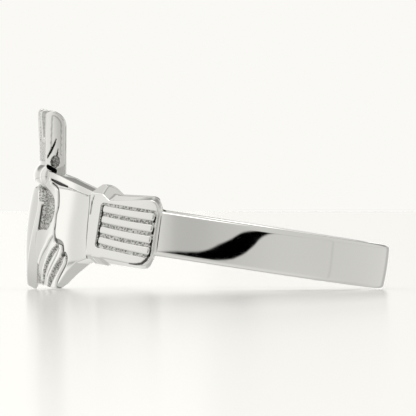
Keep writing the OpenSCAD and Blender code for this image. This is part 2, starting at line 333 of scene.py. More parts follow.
def grains(u, v, size):
    """Height of a sandblasted surface, from 0 to 1: pits that lie at random about one size apart."""
    nearest = np.inf
    for du in (-1, 0, 1):
        for dv in (-1, 0, 1):
            cu = np.floor(u / size) + du
            cv = np.floor(v / size) + dv
            hu = np.sin(cu * 127.1 + cv * 311.7) * 43758.5453
            hv = np.sin(cu * 269.5 + cv * 183.3) * 43758.5453
            pu = cu + hu - np.floor(hu)
            pv = cv + hv - np.floor(hv)
            nearest = np.minimum(nearest, np.hypot(u / size - pu, v / size - pv))
    return np.clip(nearest, 0, 1)


def round_face(points):
    """Drawn points from arc length, height and distance from the axis."""
    s, z, r = points.T
    return np.stack([-r * np.cos(s / 10), -r * np.sin(s / 10), z], 1)


def round_measure(points):
    """Arc length, height and distance from the axis of drawn points."""
    x, y, z = points.T
    return 10 * np.arctan2(-y, -x), z, np.hypot(x, y)


def settled(values):
    """The grid with no side of a cell inside at two opposite corners only, where four faces would share
    one edge. The outside corner nearest the surface is filled, until none is left."""
    for _ in range(40):
        filled = 0
        for u, v in ((0, 1), (1, 2), (2, 0)):
            here = values < 0
            by_u, by_v = np.roll(here, -1, u), np.roll(here, -1, v)
            odd = np.argwhere((here == np.roll(by_u, -1, v)) & (by_u == by_v) & (here != by_u))
            filled += len(odd)
            corners = np.stack([odd] * 4)
            corners[[1, 3], :, u] += 1
            corners[[2, 3], :, v] += 1
            reach = values[tuple(np.moveaxis(corners, 2, 0))]
            pick = np.where(reach < 0, np.inf, reach).argmin(0)
            values[tuple(corners[pick, np.arange(len(odd))].T)] = FILLED
        if not filled:
            break
    return values


def net(values, low, step):
    """The surface where values change sign, as four-sided faces: one point in each cell it passes."""
    cells = tuple(n - 1 for n in values.shape)
    total = np.zeros((np.prod(cells), 3))
    count = np.zeros(np.prod(cells))
    inside = values < 0
    faces = []
    for axis in range(3):
        u, v = (axis + 1) % 3, (axis + 2) % 3
        first = tuple(slice(0, -1) if k == axis else slice(None) for k in range(3))
        second = tuple(slice(1, None) if k == axis else slice(None) for k in range(3))
        corner = np.argwhere(inside[first] != inside[second])
        a, b = values[first][tuple(corner.T)], values[second][tuple(corner.T)]
        cross = corner.astype(float)
        cross[:, axis] += np.clip(a / (a - b), NEAREST, 1 - NEAREST)
        ring = []
        for du, dv in ((1, 1), (0, 1), (0, 0), (1, 0)):
            cell = corner.copy()
            cell[:, u] -= du
            cell[:, v] -= dv
            flat = np.ravel_multi_index(cell.T, cells)
            ring.append(flat)
            count += np.bincount(flat, minlength=len(count))
            for k in range(3):
                total[:, k] += np.bincount(flat, cross[:, k], minlength=len(count))
        ring = np.stack(ring, 1)
        faces.append(np.where((a < b)[:, None], ring, ring[:, ::-1]))
    used = np.flatnonzero(count)
    number = np.zeros(len(count), int)
    number[used] = np.arange(len(used))
    return low + total[used] / count[used, None] * step, number[np.concatenate(faces)]


def quad_mesh(name, points, normals, faces, marks):
    """A mesh from arrays, with the true direction of the surface at each point, for smooth mirrors."""
    mesh = bpy.data.meshes.new(name)
    mesh.vertices.add(len(points))
    mesh.vertices.foreach_set("co", points.astype(np.float32).ravel())
    mesh.loops.add(faces.size)
    mesh.loops.foreach_set("vertex_index", faces.astype(np.int32).ravel())
    mesh.polygons.add(len(faces))
    mesh.polygons.foreach_set("loop_start", np.arange(0, faces.size, 4, dtype=np.int32))
    mesh.update(calc_edges=True)
    mesh.validate()
    mesh.polygons.foreach_set("use_smooth", np.ones(len(mesh.polygons), bool))
    mesh.normals_split_custom_set_from_vertices(normals.tolist())
    for mark, shares in marks.items():
        values = np.clip(shares, 0, 1).astype(np.float32)
        mesh.attributes.new(mark, "FLOAT", "POINT").data.foreach_set("value", values)
    mesh.materials.append(silver)
    return mesh


def cast(name, form, finish, low, high, place=round_face, measure=round_measure, step=CAST_STEP,
         mirrored=False):
    """A closed cast piece: the surface where form is 0, laid down as the ring rests. form takes the
    three coordinates of its own grid, and place and measure turn those into drawn points and back.
    finish gives the shares of sandblasting and of painted shade."""
    low, high = np.array(low, float), np.array(high, float)
    axes = [low[k] + step * np.arange(int((high[k] - low[k]) / step) + 2) for k in range(3)]
    grid = np.meshgrid(*axes, indexing="ij", sparse=True)
    values = np.broadcast_to(form(*grid), [len(a) for a in axes]).copy()
    for k in range(3):
        edge = [slice(None)] * 3
        for end in (0, -1):
            edge[k] = end
            values[tuple(edge)] = np.maximum(values[tuple(edge)], step)
    local, faces = net(settled(values), low, step)
    start = points = place(local)
    farthest = FARTHEST * step
    for _ in range(2):
        value, slope = depth_and_slope(form, measure, points, step / 4)
        moved = points - slope * (value / (slope * slope).sum(1))[:, None]
        points = start + np.clip(moved - start, -farthest, farthest)
    slope = depth_and_slope(form, measure, points, step / 4)[1]
    normals = slope / np.linalg.norm(slope, axis=1)[:, None]
    # The second mark is the share of painted shade
    marks = dict(zip(("frost", "painted_shade"), finish(*measure(points))))
    for side in ((1, -1) if mirrored else (1,)):
        flip = np.array([1, side, 1])
        laid = laid_down(points * flip)
        facing = (laid_down(points * flip + normals * flip) - laid) / MM
        order = faces if side == 1 else faces[:, ::-1]
        label = name if not mirrored else f"{'near' if side == 1 else 'far'}_{name}"
        finish_piece(label, quad_mesh(label, laid, facing, order, marks))


def depth_and_slope(form, measure, points, reach):
    """The form's value at drawn points, and how it grows along x, y and z there."""
    slope = np.empty_like(points)
    for k in range(3):
        step = np.zeros(3)
        step[k] = reach
        slope[:, k] = (form(*measure(points + step)) - form(*measure(points - step))) / (2 * reach)
    return form(*measure(points)), slope


def from_side(u, v, start, end):
    """Distance to the straight line from start to end, and how far along it the nearest point lies."""
    du, dv = end[0] - start[0], end[1] - start[1]
    share = ramp((u - start[0]) * du + (v - start[1]) * dv, du * du + dv * dv)
    return np.hypot(u - start[0] - share * du, v - start[1] - share * dv), share


def along_line(u, v, line):
    """Distance to the nearest point of a line, and the half width that its rows give there."""
    best, width = np.inf, 0.0
    for start, end in zip(line[:-1], line[1:]):
        gap, share = from_side(u, v, start, end)
        width = np.where(gap < best, start[2] + share * (end[2] - start[2]), width)
        best = np.minimum(best, gap)
    return best, width


def creased(s, z, creases):
    """How far creases sink the face here, and the shares of painted shade and of sandblasting they
    carry.
    """
    sunk, black, rough = 0.0, 0.0, 0.0
    for line, depth, shoulder, shade_share, frost_share in creases:
        gap, width = along_line(s, z, line)
        near = 1 - ramp(gap - width, shoulder)
        sunk = np.maximum(sunk, depth * (1 - np.sqrt(1 - near * near)))
        # Painted shade along the crease
        black = np.maximum(black, shade_share * np.clip(1 - (gap - width) / SHADE_FADE, 0, 1))
        rough = np.maximum(rough, frost_share * np.clip(1.5 - (gap - width) / FROST_FADE, 0, 1))
    return sunk, black, rough


def plate(z, r, along, upper, lower):
    """A stretch of sleeve in section: sides that slope from the face out to the foot and back in."""
    side = -np.inf
    for sign, widths in ((1, upper), (-1, lower)):
        face, foot = between(widths[:2], along), between(widths[2:], along)
        lean = (foot - face) / (CUFF_R - FOOT_R)
        outer = (sign * z - face - (CUFF_R - r) * lean) / np.hypot(1, lean)
        inner = (sign * z - foot + (FOOT_R - r) * FOOT_BACK) / math.hypot(1, FOOT_BACK)
        side = np.maximum(side, both(outer, inner, FOOT_EDGE_R))
    return side


def field_edge(s, z):
    """Distance to the edge of the sunk field with its rounded corners, below 0 inside."""
    share = ramp(s - FIELD[0], FIELD[1] - FIELD[0])
    ends = np.abs(s - sum(FIELD) / 2) - (FIELD[1] - FIELD[0]) / 2
    sides = np.maximum(z - between(FIELD_TOP, share), -z - between(FIELD_LOW, share))
    return both(ends, sides, FIELD_CORNER_R)


def cuff_form(s, z, r):
    collar_end, cuff_end = arc_mm(COLLAR_END), arc_mm(CUFF_END)
    along = ramp(s - collar_end, cuff_end - collar_end)
    end = s - cuff_end - CUFF_END_LEAN * (r - FOOT_R)
    sleeve = both(plate(z, r, along, CUFF_TOP, CUFF_LOW), end, CUFF_CORNER_R)
    sleeve = np.maximum(sleeve, collar_end - SLEEVE_UNDER - s)
    square = between(COLLAR_SQUARE, (CUFF_R - r) / (CUFF_R - FOOT_R))
    far_end = (s - collar_end + COLLAR_SLOPE * np.maximum(z - square, 0)) / COLLAR_SLOPE
    ends = np.maximum(arc_mm(WRIST) - WRIST_LEAN * z - s, far_end)
    collar = both(plate(z, r, 0.0, COLLAR_TOP, COLLAR_LOW), ends, FACE_EDGE_R)
    face = CUFF_R - creased(s, z, CUFF_CREASES)[0]
    form = both(either(sleeve, collar, COLLAR_FILLET_R), r - face, FACE_EDGE_R)
    # A stub just under the band's skin, so that the fillet runs out into the band
    band_face = r + z * z / (2 * BAND_CROWN_R) - BAND_R
    stub = both(np.abs(z) - BAND_W / 2 + UNDER_SKIN, band_face + UNDER_SKIN, BAND_EDGE_R)
    stub = np.maximum(stub, np.maximum(FOOT_R - r, s - cuff_end - STUB))
    form = either(form, stub, BAND_FILLET_R)
    sunk = np.maximum(field_edge(s, z), CUFF_R - FIELD_DEPTH + GRIT_DEPTH * grains(s, z, GRIT) - r)
    return both(both(form, -sunk, FIELD_EDGE_R), finger_side(z) + BEHIND - r, BORE_EDGE_R)


def cuff_finish(s, z, r):
    """Dull in the field, and painted shade in the creases, in the crack along the ribs' ends at the
    collar, and beside their lower halves at the shank."""
    field = (field_edge(s, z) < -0.02) * (CUFF_R - r > FIELD_DEPTH / 2) * (r > FOOT_R)
    lowest, pitch, dark = CRACK_ROWS
    row = (z - lowest) / pitch
    near = ramp(FIELD[0] + CRACK_W - s, 0.04) * ramp(CRACK_TOP - z, 0.1)
    far = ramp(s - FIELD[1] + CRACK_W, 0.04) * ramp(dark - (row - np.floor(row)), 0.1)
    ends = field * np.maximum(near, far * (z < CRACK_TOP - 0.05))
    return field, np.maximum(ends, creased(s, z, CUFF_CREASES)[1] * (r > FOOT_R))


cast("cuff", cuff_form, cuff_finish, (arc_mm(WRIST) - 0.4, -2.4, 8.5),
     (arc_mm(CUFF_END) + STUB + 0.1, 2.4, 10.4), mirrored=True)

# Ribs
# Four rounded ribs lie in each cuff's field like the gathers of a sleeve, cast with it and polished on
# their backs. They fan out and dip a little towards the shank, and their ends are round.
RIB_COUNT = 4
RIB_PITCH = 0.58
RIB_LOWER = -0.02
RIB_FAN = 0.1
RIB_DIP = 0.12
RIB_W = 0.43
RIB_H = 0.5
RIB_ROUND = 0.14
RIB_TOP_R = 10.19
RIB_FROM = 51.3
RIB_TO = 70.7
RIB_END = 0.04
RIB_SIZES = {
    "Count": RIB_COUNT, "Pitch": RIB_PITCH * MM, "Fan": RIB_FAN, "Dip": RIB_DIP * MM,
    "Lowest": -(RIB_LOWER + (RIB_COUNT - 1) / 2 * RIB_PITCH) * MM,
    "Radius": (RIB_TOP_R - RIB_H / 2) * MM, "Rib Width": RIB_W * MM, "Rib Height": RIB_H * MM,
    "Edge Radius": RIB_ROUND * MM, "Round End": RIB_END,
    "From": math.radians(180 + RIB_FROM), "Sweep": math.radians(RIB_TO - RIB_FROM), **LAID}

tree, given = new_tree("ribs", RIB_SIZES)
rows = add_node(tree, "GeometryNodeMeshLine", {}, {
    "Count": given["Count"],
    "Start Location": add_node(tree, "ShaderNodeCombineXYZ", {}, {2: given["Lowest"]}),
    "Offset": add_node(tree, "ShaderNodeCombineXYZ", {}, {2: given["Pitch"]})})
path = add_node(tree, "GeometryNodeCurveArc", {"mode": "RADIUS", "Resolution": 90}, {
    "Radius": given["Radius"], "Start Angle": given["From"], "Sweep Angle": given["Sweep"]})
lines = add_node(tree, "GeometryNodeInstanceOnPoints", {}, {"Points": rows, "Instance": path})
lines = add_node(tree, "GeometryNodeRealizeInstances", {}, {0: lines})
along = add_node(tree, "GeometryNodeSplineParameter").outputs["Factor"]
# Each rib's height over the middle grows by the fan's share on the way to the shank, and all ribs dip,
# quickest beside the collar
where = add_node(tree, "ShaderNodeSeparateXYZ", {}, {0: add_node(tree, "GeometryNodeInputPosition")})
opening = add_node(tree, MATH, TIMES, {0: along, 1: given["Fan"]})
rise = add_node(tree, MATH, TIMES, {0: opening, 1: where.outputs["Z"]})
far = add_node(tree, MATH, {"operation": "SUBTRACT", 0: 1.0}, {1: along})
level = add_node(tree, MATH, TIMES, {0: far, 1: far})
dipped = add_node(tree, MATH, {"operation": "SUBTRACT", 1: 1.0}, {0: level})
risen = add_node(tree, MATH, {"operation": "MULTIPLY_ADD"}, {0: dipped, 1: given["Dip"], 2: rise})
fanned = add_node(tree, "GeometryNodeSetPosition", {}, {
    "Geometry": lines, "Offset": add_node(tree, "ShaderNodeCombineXYZ", {}, {2: risen})})
upright = add_node(tree, "GeometryNodeSetCurveNormal", {"mode": "Z_UP"}, {"Curve": fanned})
# Round ends: the section shrinks as a circle does over the last share of the way, to a small flat
nearer = add_node(tree, MATH, {"operation": "MINIMUM"}, {0: along, 1: far})
gone = add_node(tree, MAP_RANGE, {"To Min": 1.0, "To Max": 0.0},
                {"Value": nearer, "From Max": given["Round End"]})
gone2 = add_node(tree, MATH, TIMES, {0: gone, 1: gone})
left = add_node(tree, MATH, {"operation": "SUBTRACT", 0: 1.02}, {1: gone2})
rounded = add_node(tree, MATH, {"operation": "SQRT"}, {0: left})
wider = add_node(tree, MATH, {"operation": "ADD", 1: 1.0}, {0: opening})
swell = add_node(tree, MATH, TIMES, {0: rounded, 1: wider})
section = add_node(tree, "GeometryNodeCurvePrimitiveQuadrilateral", {}, {
    "Width": given["Rib Height"], "Height": given["Rib Width"]})
eased = add_node(tree, "GeometryNodeFilletCurve", {"mode": "POLY", "Count": 6}, {
    "Curve": section, "Radius": given["Edge Radius"]})
swept = add_node(tree, "GeometryNodeCurveToMesh", {"Fill Caps": True}, {
    "Curve": upright, "Profile Curve": eased, "Scale": swell})
end_tree(tree, swept, given)
finish_piece("near_ribs", grown("near_ribs", tree, RIB_SIZES))
FAR_ARC = {"From": math.radians(180 - RIB_FROM), "Sweep": math.radians(RIB_FROM - RIB_TO)}
finish_piece("far_ribs", grown("far_ribs", tree, {**RIB_SIZES, **FAR_ARC}))

# Hands
# The two hands that clasp the heart, each cast with its cuff: a smooth back, a thumb along the upper
# edge, and four fingers that bend down round the heart, with sandblasted grooves between them.
HAND_R = 10.15
HAND_TOP = 2.63
HAND_BOTTOM = 3.97
HAND_CURL = 0.52
HAND_EDGE_R = 0.06
HAND_DRAFT = 0.05
HAND_STEP = 0.038
SEAT_R = 9.88
# Arc length and height of the outline's corners, from the thumb's tip round by the wrist
HAND_OUTLINE = [
    (1.6, 2.5), (3.0, 2.49), (3.9, 2.43), (4.8, 2.34), (6.4, 2.06), (8.5, 1.66), (8.5, -1.9),
    (7.4, -2.34), (6.6, -2.96), (5.9, -3.6), (5.3, -3.97), (4.5, -3.95), (3.98, -3.86), (3.55, -3.67),
    (3.24, -3.36), (3.02, -2.95), (2.9, -2.84), (2.72, -2.62), (2.42, -2.1), (2.3, -1.65), (2.2, -1.2),
    (1.6, -0.9),
]
WINDOW_SINK = 0.02
WINDOW_EDGE_R = 0.04
# The sunk window between thumb, forefinger and heart
WINDOW_OUTLINE = [
    (1.2, 1.1), (1.9, 1.6), (2.48, 1.73), (3.38, 1.5), (4.07, 1.29), (4.58, 0.97), (4.82, 0.44),
    (4.79, -0.02), (4.54, -0.42), (4.24, -0.75), (3.63, -0.78), (2.97, -0.86), (2.2, -1.0), (1.2, -1.2),
]
# The creases between the thumb, the back of the hand and the fingers, in rows as those of the cuffs
THUMB_CREASE = [(3.6, 2.04, 0.02), (4.38, 1.94, 0.05), (4.91, 1.87, 0.05), (5.38, 1.82, 0.03),
                (5.81, 1.77, 0.01)]
THUMB_LINE = [(5.7, 1.78, 0.012), (6.52, 1.66, 0.012), (7.16, 1.55, 0.01), (7.9, 1.45, 0.01)]
BACK_TOP_CREASE = [(4.7, 1.66, 0.01), (5.42, 1.65, 0.012), (6.04, 1.64, 0.015), (6.99, 1.56, 0.015),
                   (7.7, 1.43, 0.01)]
BACK_CREASE = [(3.86, 1.86, 0.02), (4.6, 1.68, 0.04), (4.95, 1.36, 0.05), (5.17, 0.64, 0.05),
               (5.08, 0.18, 0.04), (5.12, -0.33, 0.04), (5.13, -0.89, 0.05), (5.31, -1.27, 0.09),
               (5.75, -1.34, 0.09), (6.06, -1.45, 0.07), (6.17, -1.75, 0.07), (6.14, -1.98, 0.1),
               (6.36, -1.95, 0.08), (6.5, -2.02, 0.05), (6.55, -2.2, 0.04), (6.48, -2.48, 0.03),
               (6.23, -2.81, 0.03), (5.8, -3.28, 0.03), (5.56, -3.58, 0.03), (5.4, -3.92, 0.02)]
FIRST_CREASE = [(4.93, -1.07, 0.01), (4.61, -1.32, 0.02), (4.26, -1.68, 0.025), (3.71, -2.1, 0.025),
                (3.2, -2.56, 0.025), (2.95, -2.85, 0.03)]
SECOND_CREASE = [(5.57, -1.58, 0.07), (5.15, -1.89, 0.1), (4.69, -2.31, 0.1), (4.29, -2.73, 0.09),
                 (3.96, -3.13, 0.09), (3.82, -3.52, 0.07), (3.7, -3.9, 0.05)]
RING_CREASE = [(5.79, -1.68, 0.01), (5.5, -2.15, 0.015), (4.93, -2.74, 0.015), (4.37, -3.33, 0.01)]
THIRD_CREASE = [(6.12, -2.1, 0.08), (5.98, -2.38, 0.12), (5.62, -2.72, 0.14), (5.33, -2.99, 0.15),
                (5.01, -3.29, 0.14), (4.73, -3.58, 0.12), (4.54, -3.87, 0.08)]
WRIST_CREASE = [(7.9, 1.5, 0.015), (8.0, 0.9, 0.025), (8.08, -0.2, 0.025), (8.22, -1.6, 0.025),
                (8.26, -1.95, 0.02)]
HAND_CREASES = [
    (THUMB_CREASE, 0.16, 0.12, 1.0, 0.0), (THUMB_LINE, 0.05, 0.07, 0.35, 0.0),
    (BACK_TOP_CREASE, 0.04, 0.08, 0.3, 0.0), (BACK_CREASE, 0.16, 0.13, 0.65, 0.0),
    (FIRST_CREASE, 0.13, 0.3, 0.35, 0.0), (SECOND_CREASE, 0.14, 0.22, 0.1, 1.0),
    (RING_CREASE, 0.05, 0.1, 0.3, 0.0), (THIRD_CREASE, 0.15, 0.18, 0.0, 1.0),
    (WRIST_CREASE, 0.06, 0.05, 0.6, 0.0),
]


def curved(points, steps=3):
    """Points along a smooth line through the given rows, so many steps from each row to the next."""
    rows = np.array(points, float)
    rows = np.concatenate([2 * rows[:1] - rows[1:2], rows, 2 * rows[-1:] - rows[-2:-1]])
    t = np.linspace(0, 1, steps, endpoint=False)[:, None]
    out = []
    for p0, p1, p2, p3 in zip(rows[:-3], rows[1:-2], rows[2:-1], rows[3:]):
        out.append(0.5 * (2 * p1 + (p2 - p0) * t + (2 * p0 - 5 * p1 + 4 * p2 - p3) * t * t
                          + (3 * p1 - p0 - 3 * p2 + p3) * t ** 3))
    return np.concatenate(out + [rows[-2:-1]])


def edge_of(u, v, outline):
    """Distance to a closed outline, below 0 inside."""
    best, crossings = np.inf, 0
    for start, end in zip(outline, np.roll(outline, -1, axis=0)):
        best = np.minimum(best, from_side(u, v, start, end)[0])
        if start[1] != end[1]:
            level = start[0] + (v - start[1]) * (end[0] - start[0]) / (end[1] - start[1])
            crossings = crossings + (((start[1] > v) != (end[1] > v)) & (u < level))
    return np.where(crossings % 2 == 1, -best, best)


def hand_face(z):
    """Distance of a hand's highest parts from the axis: it curls in towards the fingers' tips."""
    down = np.clip(-z / HAND_BOTTOM, 0, 1.1)
    return HAND_R - HAND_CURL * down * down


def seat_face(z):
    """Distance of the sunk ground behind the heart from the axis."""
    return hand_face(z) - HAND_R + SEAT_R


WINDOW_OUTLINE = curved(WINDOW_OUTLINE)
HAND_CREASES = [(curved(line), *rest) for line, *rest in HAND_CREASES]


def hand_form(s, z, r):
    sunk, _, rough = creased(s, z, HAND_CREASES)
    edge = edge_of(s, z, HAND_OUTLINE) + HAND_DRAFT * (HAND_R - r)
    grit = GRIT_DEPTH * grains(s, z, GRIT)
    form = both(edge, r - hand_face(z) + sunk + rough * grit, HAND_EDGE_R)
    window = edge_of(s, z, WINDOW_OUTLINE)
    form = both(form, -np.maximum(window, seat_face(z) - WINDOW_SINK + grit - r), WINDOW_EDGE_R)
    return both(form, finger_side(z) - r, BORE_EDGE_R)


def hand_finish(s, z, r):
    """Dull on the window's floor, and in the creases dull or darkened by painted shade."""
    window = (edge_of(s, z, WINDOW_OUTLINE) < -0.02) * (hand_face(z) - r > 0.12)
    _, black, rough = creased(s, z, HAND_CREASES)
    return np.maximum(window, rough) * (r > FOOT_R), black * (r > FOOT_R)


cast("hand", hand_form, hand_finish, (1.5, -4.1, 8.5), (8.6, 2.75, 10.25), step=HAND_STEP,
     mirrored=True)

# Recess
# The sandblasted ground behind the heart, which joins the two hands. It is left dull so that the
# polished heart stands out.
GROUND_HALF = 2.6
GROUND_LOW = -3.9
GROUND_EDGE_R = 0.05
GROUND_FACE_R = 0.1


def ground_form(s, z, r):
    form = both(np.abs(s) - GROUND_HALF, np.maximum(z - HAND_TOP, GROUND_LOW - z), GROUND_EDGE_R)
    form = both(form, r - seat_face(z) + GRIT_DEPTH * grains(s, z, GRIT), GROUND_FACE_R)
    return both(form, finger_side(z) + 2 * BEHIND - r, BORE_EDGE_R)


def ground_finish(s, z, r):
    """Dull all over, but for its lower end and the finger's side."""
    return (r > FOOT_R) * (z > GROUND_LOW + 0.1), r * 0.0


cast("ground", ground_form, ground_finish, (-2.75, -4.05, 8.5), (2.75, 2.75, 10.05))

# Heart
# The heart is a cushion with two lobes, cast proud of its ground and polished. Its face is domed both
# ways, and its walls flare a little to the ground. Their foot is left dull, with painted shade in the
# crack.
HEART_W = 5.3
HEART_TOP = 1.6
HEART_TIP = 4.0
LOBE_R = 1.36
SIDE_R = 7.0
HEART_FRONT = 10.44
DOME_TALL_R = 15.0
DOME_WIDE_R = 7.2
DOME_Z = 0.05
HEART_EDGE_R = 0.08
HEART_FLARE = 0.35
HEART_FLARE_OUT = 9.95
# The crack round the foot of the walls, painted dark as shade: distance out, half width, lower and upper
# end
HEART_CRACK = (9.71, 0.055, -0.95, 0.65)
# The lobes' walls are dull from this height up, below this distance out and its slope
LOBE_FROST = (0.72, 9.85, 0.12)
HEART_ROOT = 0.1
HEART_STEP = 0.045


def flat_face(points):
    """Drawn points from distance towards the near hand, height, and distance out from the axis."""
    a, z, out = points.T
    return np.stack([-out, -a, z], 1)


def flat_measure(points):
    """Distance towards the near hand, height, and distance out from the axis, of drawn points."""
    x, y, z = points.T
    return -y, z, -x


def heart_outline():
    """Half of the heart from its tip: a long arc that touches the lobe, then the lobe to the cleft."""
    lobe = np.array([HEART_W / 2 - LOBE_R, HEART_TOP - LOBE_R])
    tip = np.array([0.0, -HEART_TIP])
    to_lobe = lobe - tip
    span = np.hypot(*to_lobe)
    inner = SIDE_R - LOBE_R
    lean = math.atan2(to_lobe[1], to_lobe[0])
    turn = math.acos((span ** 2 + SIDE_R ** 2 - inner ** 2) / (2 * span * SIDE_R))
    side = tip + SIDE_R * np.array([math.cos(lean + turn), math.sin(lean + turn)])
    touch = math.atan2(lobe[1] - side[1], lobe[0] - side[0])
    cleft = math.pi - math.acos(lobe[0] / LOBE_R)
    long_arc = np.linspace(lean + turn - math.pi, touch, 24, endpoint=False)
    round_arc = np.linspace(touch, cleft, 40)
    half = np.concatenate([
        side + SIDE_R * np.stack([np.cos(long_arc), np.sin(long_arc)], 1),
        lobe + LOBE_R * np.stack([np.cos(round_arc), np.sin(round_arc)], 1)])
    return np.concatenate([half, half[-2:0:-1] * [-1, 1]])


HEART_OUTLINE = heart_outline()


def heart_form(a, z, out):
    edge = edge_of(a, z, HEART_OUTLINE) - HEART_FLARE * np.clip(HEART_FLARE_OUT - out, -0.3, 0.5)
    tall = DOME_WIDE_R - DOME_TALL_R + np.sqrt(DOME_TALL_R ** 2 - (z - DOME_Z) ** 2)
    dome = HEART_FRONT - DOME_WIDE_R + np.sqrt(tall ** 2 - a ** 2)
    form = both(edge, out - dome, HEART_EDGE_R)
    return np.maximum(form, finger_side(z) + HEART_ROOT - np.hypot(a, out))


def heart_finish(a, z, out):
    """Dull at the foot of the walls, and higher up on the lobes' walls. Painted shade in the crack
    between the heart's sides and the forefingers."""
    crack_out, crack_half, low, high = HEART_CRACK
    lobe_z, lobe_out, lobe_slope = LOBE_FROST
    wall = edge_of(a, z, HEART_OUTLINE) > -0.1
    foot = (out < crack_out - 0.03) * (z > low + 0.05)
    lobe = (out < lobe_out + lobe_slope * z) * (z > lobe_z)
    crack = np.clip(1.5 - np.abs(out - crack_out) / crack_half, 0, 1)
    return wall * np.maximum(foot, lobe), wall * crack * ramp(high - z, 0.15) * ramp(z - low, 0.15)


cast("heart", heart_form, heart_finish, (-2.95, -4.3, 9.0), (2.95, 1.9, 10.5), flat_face,
     flat_measure, HEART_STEP)

# Foot band
# The round fillet that carries the crown over the heart, cast with the hands and polished. Behind each
# of its soft ends a slot is left between crown and hand, painted black as shade.
ROLL_Z = 2.2
ROLL_R = 0.75
ROLL_FRONT = 10.49
ROLL_END = 17.6
ROLL_SOFT = 0.5
ROLL_BACK_R = 9.3
CUT_EDGE_R = 0.03
CUT_FADE = 0.03
SLOT_OUT = 9.5
SLOT_Z = 2.62
SLOT_HALF_W = 0.3
SLOT_HALF_H = 0.11
SLOT_LEAN = 0.35
SLOT_FROM = 2.75


def slot(a, z, out):
    """The slanting slot into each end between crown and hand, below 0 inside."""
    across = np.abs(z - SLOT_Z - SLOT_LEAN * (out - SLOT_OUT)) - SLOT_HALF_H
    hole = both(np.abs(out - SLOT_OUT) - SLOT_HALF_W, across, 0.1)
    return np.maximum(hole, SLOT_FROM - np.abs(a))


def roll_form(s, z, r):
    tube = np.hypot(z - ROLL_Z, r - ROLL_FRONT + ROLL_R) - ROLL_R
    form = both(tube, np.abs(s) - arc_mm(ROLL_END), ROLL_SOFT)
    form = both(form, -slot(r * np.sin(s / 10), z, r * np.cos(s / 10)), CUT_EDGE_R)
    return np.maximum(form, ROLL_BACK_R - r)


def roll_finish(s, z, r):
    """Painted shade, near black, in the slots."""
    return r * 0.0, np.clip(1 - slot(r * np.sin(s / 10), z, r * np.cos(s / 10)) / CUT_FADE, 0, 1)


cast("foot_band", roll_form, roll_finish, (-3.25, 1.35, 9.2), (3.25, 3.05, 10.55))

# Crown
# An open crown of five points, cast on the foot band and leaning a little outwards. Its rims, back and
# ends are polished, and the sunk panels in its points are sandblasted. Each end wall has a rough pocket
# near its foot, a stroke above and a fine line along its rim, all painted dark as shade.
CROWN_TOP = 5.88
CROWN_DROP = 0.04
CROWN_FOOT_Z = 2.73
CROWN_LOW_Z = 2.2
CROWN_FOOT_HALF = 2.95
CROWN_TOP_HALF = 3.575
CROWN_FRONT_R = 10.25
CROWN_LEAN = 0.18
CROWN_BACK_R = 9.27
CROWN_BACK_LEAN = 0.2
CROWN_BACK_EDGE_R = 0.75
CROWN_FRONT_EDGE_R = 0.36
CROWN_END_OUT = 9.29
CROWN_END_SLANT = 0.25
CROWN_END_R = 2.6
CROWN_END_EDGE_R = 0.08
# The fine line along an end wall's rim: distance in from the rim, half width and depth
END_LINE = (0.24, 0.02, 0.04)
CROWN_FLARE = 0.19
POINTS = 5
POINT_GAP_W = 1.2
POINT_GAP_FOOT_W = 0.5
POINT_GAP_DEPTH = 1.7
POINT_GAP_EDGE_R = 0.12
CROWN_RIM = 0.2
PANEL_DEPTH = 0.06
PANEL_FOOT_Z = 3.0
PANEL_FROST = 0.35
POCKET_OUT = 9.37
POCKET_Z = 3.04
POCKET_HALF_W = 0.24
POCKET_HALF_H = 0.33
POCKET_DEPTH = 0.15
POCKET_SPIKE = 0.75
# Distance out from the axis, height and half width along the stroke painted black as shade
STROKE = [(9.5, 4.3, 0.01), (9.57, 3.98, 0.04), (9.69, 3.6, 0.05), (9.83, 3.2, 0.02)]
STROKE_DEPTH = 0.08


def end_bulge(z, out):
    """How far each end wall falls back: it slants in towards the front and is a little round."""
    off = out - CROWN_END_OUT - (z - CROWN_FOOT_Z) * CROWN_LEAN
    return CROWN_END_SLANT * off + off * off / (2 * CROWN_END_R)


def crown_outline(a, z, out):
    """Distance to the crown's ends and gaps seen from the front, below 0 inside, and to its top."""
    point_w = (2 * CROWN_TOP_HALF - (POINTS - 1) * POINT_GAP_W) / POINTS
    pitch = point_w + POINT_GAP_W
    flare = (CROWN_TOP_HALF - CROWN_FOOT_HALF) / (CROWN_TOP - CROWN_DROP - CROWN_LOW_Z)
    form = (np.abs(a) - CROWN_FOOT_HALF - (z - CROWN_LOW_Z) * flare) / math.hypot(1, flare)
    form = form + end_bulge(z, out)
    fall = CROWN_DROP * np.clip((np.abs(a) - point_w / 2) / (CROWN_TOP_HALF - point_w / 2), 0, 1)
    top = z - CROWN_TOP + fall
    gap_z = CROWN_TOP - POINT_GAP_DEPTH + POINT_GAP_FOOT_W / 2
    spread = (POINT_GAP_W - POINT_GAP_FOOT_W) / 2 / (CROWN_TOP - gap_z)
    for k in range(POINTS - 1):
        off = a - (k - (POINTS - 2) / 2) * pitch
        gap = np.hypot(off, np.minimum(z - gap_z, 0)) - POINT_GAP_FOOT_W / 2
        gap = gap - spread * np.maximum(z - gap_z, 0)
        form = both(form, -gap, POINT_GAP_EDGE_R)
    return form, top


def crown_pocket(z, out):
    """The sunk pocket near the foot of each end wall, with a spike upwards, below 0 inside."""
    u, v = out - POCKET_OUT, z - POCKET_Z
    bowl = np.hypot(u / POCKET_HALF_W, v / POCKET_HALF_H) - 1
    spike = np.abs(u + 0.05) - 0.07 * np.clip((POCKET_SPIKE - v) / POCKET_SPIKE, 0, 1)
    return np.minimum(bowl * POCKET_HALF_W, np.maximum(spike, np.maximum(-v, v - POCKET_SPIKE)))


def crown_stroke(z, out):
    """The thin stroke in each end wall, below 0 inside."""
    gap, width = along_line(out, z, STROKE)
    return gap - width


